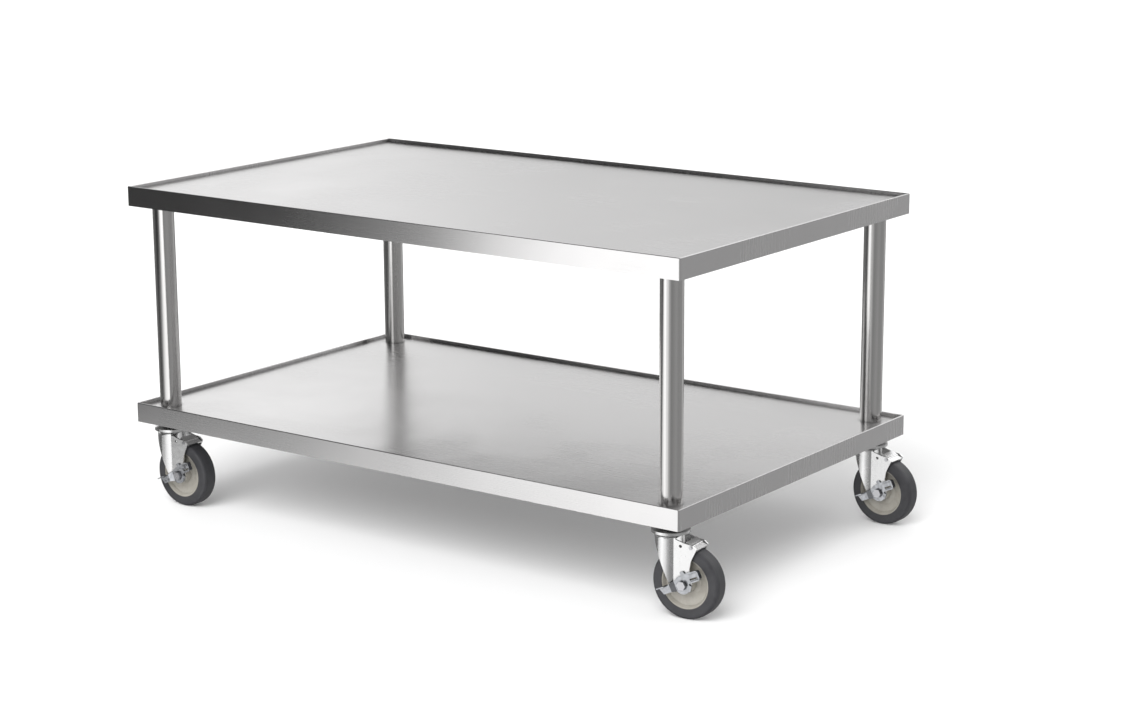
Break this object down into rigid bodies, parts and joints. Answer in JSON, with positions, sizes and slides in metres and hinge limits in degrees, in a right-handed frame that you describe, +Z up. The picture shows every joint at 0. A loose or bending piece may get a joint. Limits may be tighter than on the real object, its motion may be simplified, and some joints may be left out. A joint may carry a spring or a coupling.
{
  "type": "mobile work table",
  "caption": "Low stainless work table with raised-rim worktop and lower shelf on round posts and swivelling braked casters.",
  "frame": {"origin": "on the floor, under the middle of the worktop", "axes": "+X along the table, to the right seen from the front; +Y to the back; +Z up"},
  "size_m": [1.3228, 0.7746, 0.63],
  "materials": {
    "brushed_stainless": "brushed along the length of each sheet or tube",
    "zinc_plated_steel": "bright zinc plate, slightly cloudy",
    "wheel_core": "satin moulded plastic",
    "tyre_rubber": "smooth matt non-marking rubber"
  },
  "bodies": {
    "table": {"top_tray": "brushed_stainless", "shelf_tray": "brushed_stainless", "leg_front_left": "brushed_stainless", "leg_front_right": "brushed_stainless", "leg_back_left": "brushed_stainless", "leg_back_right": "brushed_stainless", "shelf_channel_left": "brushed_stainless", "shelf_channel_right": "brushed_stainless", "top_channel_left": "brushed_stainless", "top_channel_right": "brushed_stainless", "leg_sockets": "zinc_plated_steel", "socket_set_screws": "zinc_plated_steel", "leg_end_plugs": "zinc_plated_steel", "stem_spacers": "zinc_plated_steel", "stem_lock_washers": "zinc_plated_steel", "swivel_cap_front_left": "zinc_plated_steel", "caster_stem_front_left": "zinc_plated_steel", "swivel_cap_front_right": "zinc_plated_steel", "caster_stem_front_right": "zinc_plated_steel", "swivel_cap_back_left": "zinc_plated_steel", "caster_stem_back_left": "zinc_plated_steel", "swivel_cap_back_right": "zinc_plated_steel", "caster_stem_back_right": "zinc_plated_steel"},
    "swivel_front_left": {"fork_front_left": "zinc_plated_steel", "swivel_balls_front_left": "zinc_plated_steel", "axle_bolt_front_left": "zinc_plated_steel", "axle_sleeve_front_left": "zinc_plated_steel", "shoe_pin_front_left": "zinc_plated_steel"},
    "wheel_front_left": {"wheel_core_front_left": "wheel_core", "tyre_front_left": "tyre_rubber"},
    "lever_front_left": {"brake_lever_front_left": "zinc_plated_steel"},
    "shoe_front_left": {"brake_shoe_front_left": "zinc_plated_steel"},
    "swivel_front_right": {"fork_front_right": "zinc_plated_steel", "swivel_balls_front_right": "zinc_plated_steel", "axle_bolt_front_right": "zinc_plated_steel", "axle_sleeve_front_right": "zinc_plated_steel", "shoe_pin_front_right": "zinc_plated_steel"},
    "wheel_front_right": {"wheel_core_front_right": "wheel_core", "tyre_front_right": "tyre_rubber"},
    "lever_front_right": {"brake_lever_front_right": "zinc_plated_steel"},
    "shoe_front_right": {"brake_shoe_front_right": "zinc_plated_steel"},
    "swivel_back_left": {"fork_back_left": "zinc_plated_steel", "swivel_balls_back_left": "zinc_plated_steel", "axle_bolt_back_left": "zinc_plated_steel", "axle_sleeve_back_left": "zinc_plated_steel", "shoe_pin_back_left": "zinc_plated_steel"},
    "wheel_back_left": {"wheel_core_back_left": "wheel_core", "tyre_back_left": "tyre_rubber"},
    "lever_back_left": {"brake_lever_back_left": "zinc_plated_steel"},
    "shoe_back_left": {"brake_shoe_back_left": "zinc_plated_steel"},
    "swivel_back_right": {"fork_back_right": "zinc_plated_steel", "swivel_balls_back_right": "zinc_plated_steel", "axle_bolt_back_right": "zinc_plated_steel", "axle_sleeve_back_right": "zinc_plated_steel", "shoe_pin_back_right": "zinc_plated_steel"},
    "wheel_back_right": {"wheel_core_back_right": "wheel_core", "tyre_back_right": "tyre_rubber"},
    "lever_back_right": {"brake_lever_back_right": "zinc_plated_steel"},
    "shoe_back_right": {"brake_shoe_back_right": "zinc_plated_steel"}
  },
  "joints": [
    {"name": "caster_swivel_front_left", "type": "hinge", "parent": "table", "child": "swivel_front_left", "pos_m": [-0.588, -0.34035, 0.145], "axis": [0, 0, 1], "continuous": true},
    {"name": "wheel_spin_front_left", "type": "hinge", "parent": "swivel_front_left", "child": "wheel_front_left", "pos_m": [-0.552, -0.34004, 0.0635], "axis": [-0.0087, 1, 0], "continuous": true},
    {"name": "brake_lever_front_left", "type": "hinge", "parent": "swivel_front_left", "child": "lever_front_left", "pos_m": [-0.552, -0.34004, 0.0635], "axis": [-0.0087, 1, 0], "range_deg": [0, 20]},
    {"name": "brake_shoe_front_left", "type": "hinge", "parent": "swivel_front_left", "child": "shoe_front_left", "pos_m": [-0.538, -0.33991, 0.1305], "axis": [-0.0087, 1, 0], "range_deg": [0, 6]},
    {"name": "caster_swivel_front_right", "type": "hinge", "parent": "table", "child": "swivel_front_right", "pos_m": [0.588, -0.34035, 0.145], "axis": [0, 0, 1], "continuous": true},
    {"name": "wheel_spin_front_right", "type": "hinge", "parent": "swivel_front_right", "child": "wheel_front_right", "pos_m": [0.62386, -0.33721, 0.0635], "axis": [-0.0872, 0.9962, 0], "continuous": true},
    {"name": "brake_lever_front_right", "type": "hinge", "parent": "swivel_front_right", "child": "lever_front_right", "pos_m": [0.62386, -0.33721, 0.0635], "axis": [-0.0872, 0.9962, 0], "range_deg": [0, 20]},
    {"name": "brake_shoe_front_right", "type": "hinge", "parent": "swivel_front_right", "child": "shoe_front_right", "pos_m": [0.63781, -0.33599, 0.1305], "axis": [-0.0872, 0.9962, 0], "range_deg": [0, 6]},
    {"name": "caster_swivel_back_left", "type": "hinge", "parent": "table", "child": "swivel_back_left", "pos_m": [-0.588, 0.34035, 0.145], "axis": [0, 0, 1], "continuous": true},
    {"name": "wheel_spin_back_left", "type": "hinge", "parent": "swivel_back_left", "child": "wheel_back_left", "pos_m": [-0.55201, 0.34098, 0.0635], "axis": [-0.0175, 0.9998, 0], "continuous": true},
    {"name": "brake_lever_back_left", "type": "hinge", "parent": "swivel_back_left", "child": "lever_back_left", "pos_m": [-0.55201, 0.34098, 0.0635], "axis": [-0.0175, 0.9998, 0], "range_deg": [0, 20]},
    {"name": "brake_shoe_back_left", "type": "hinge", "parent": "swivel_back_left", "child": "shoe_back_left", "pos_m": [-0.53801, 0.34122, 0.1305], "axis": [-0.0175, 0.9998, 0], "range_deg": [0, 6]},
    {"name": "caster_swivel_back_right", "type": "hinge", "parent": "table", "child": "swivel_back_right", "pos_m": [0.588, 0.34035, 0.145], "axis": [0, 0, 1], "continuous": true},
    {"name": "wheel_spin_back_right", "type": "hinge", "parent": "swivel_back_right", "child": "wheel_back_right", "pos_m": [0.62397, 0.33878, 0.0635], "axis": [0.0436, 0.999, 0], "continuous": true},
    {"name": "brake_lever_back_right", "type": "hinge", "parent": "swivel_back_right", "child": "lever_back_right", "pos_m": [0.62397, 0.33878, 0.0635], "axis": [0.0436, 0.999, 0], "range_deg": [0, 20]},
    {"name": "brake_shoe_back_right", "type": "hinge", "parent": "swivel_back_right", "child": "shoe_back_right", "pos_m": [0.63795, 0.33817, 0.1305], "axis": [0.0436, 0.999, 0], "range_deg": [0, 6]}
  ],
  "couplings": [
    {"joint": "brake_shoe_front_left", "follows": "brake_lever_front_left", "ratio": 0.3},
    {"joint": "brake_shoe_front_right", "follows": "brake_lever_front_right", "ratio": 0.3},
    {"joint": "brake_shoe_back_left", "follows": "brake_lever_back_left", "ratio": 0.3},
    {"joint": "brake_shoe_back_right", "follows": "brake_lever_back_right", "ratio": 0.3}
  ]
}
